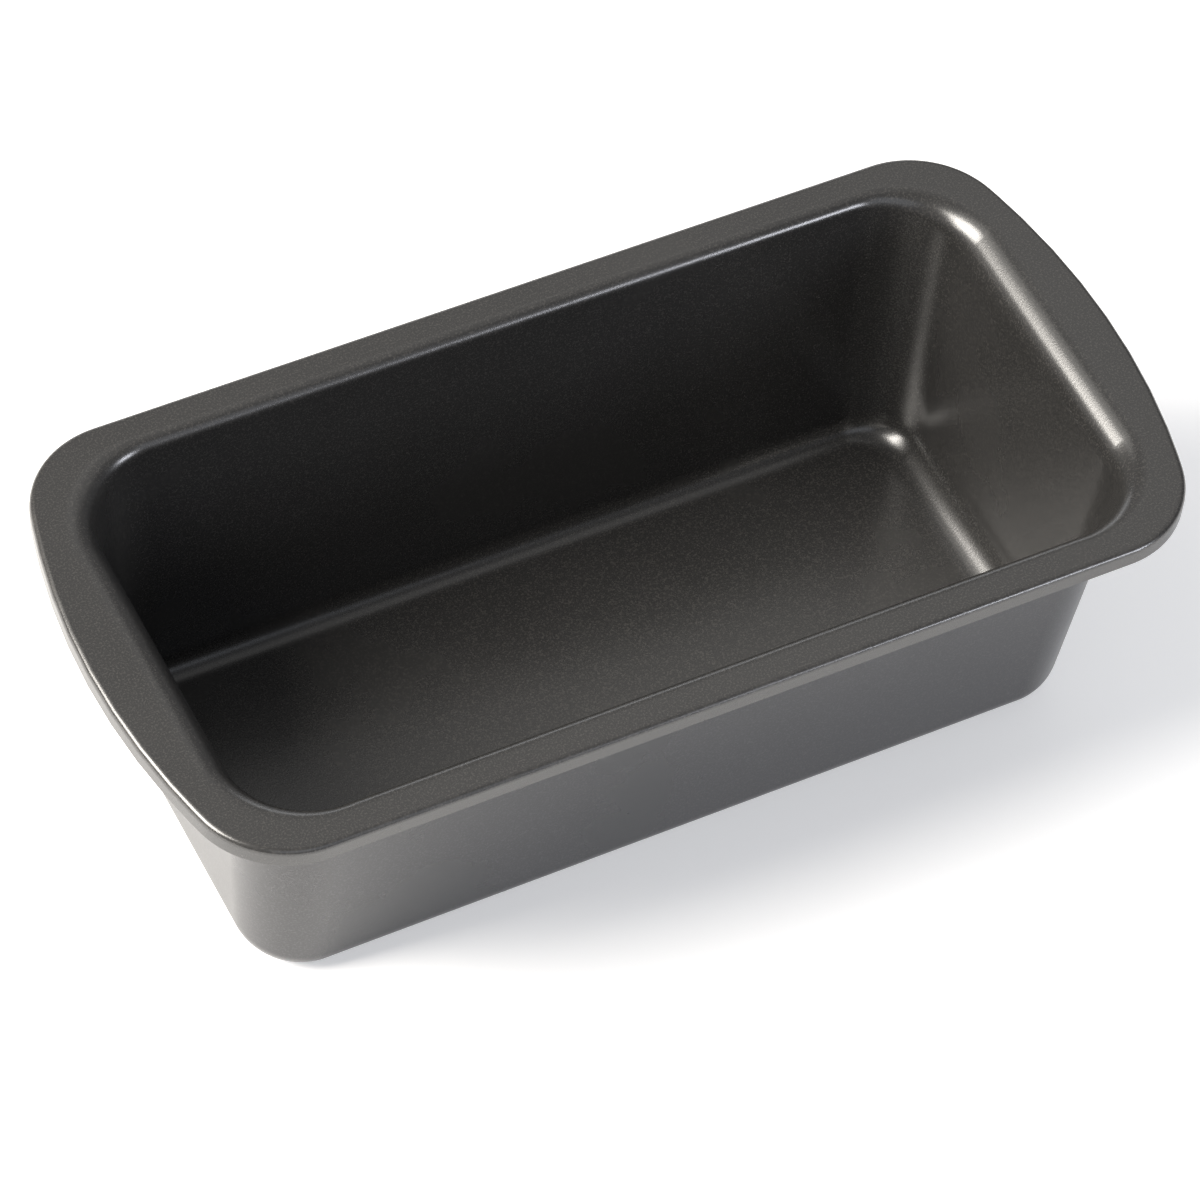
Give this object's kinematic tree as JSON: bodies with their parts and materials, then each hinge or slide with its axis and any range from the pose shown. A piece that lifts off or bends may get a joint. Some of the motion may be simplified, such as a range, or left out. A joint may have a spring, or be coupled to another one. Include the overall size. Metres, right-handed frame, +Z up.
{
  "type": "loaf pan",
  "caption": "Rectangular loaf pan pressed from coated sheet steel, with drafted walls, round corners, a flat rim bowed out as handles and a turned-down edge.",
  "frame": {"origin": "centre of the flat base, on the surface that the pan stands on", "axes": "+X along the pan from handle to handle, +Y across it, +Z up out of the mouth"},
  "size_m": [0.27, 0.132, 0.08],
  "materials": {
    "sheet_steel": "bare cold-rolled carbon steel, seen only at the skirt's cut edge",
    "inside_nonstick": "satin dark grey non-stick film with a very fine metallic fleck",
    "outside_coat": "smooth satin dark grey film with a very fine metallic fleck"
  },
  "bodies": {
    "root": {"steel_shell": "sheet_steel", "inside_coating": "inside_nonstick", "outside_coating": "outside_coat", "base_coating": "outside_coat"}
  },
  "joints": []
}
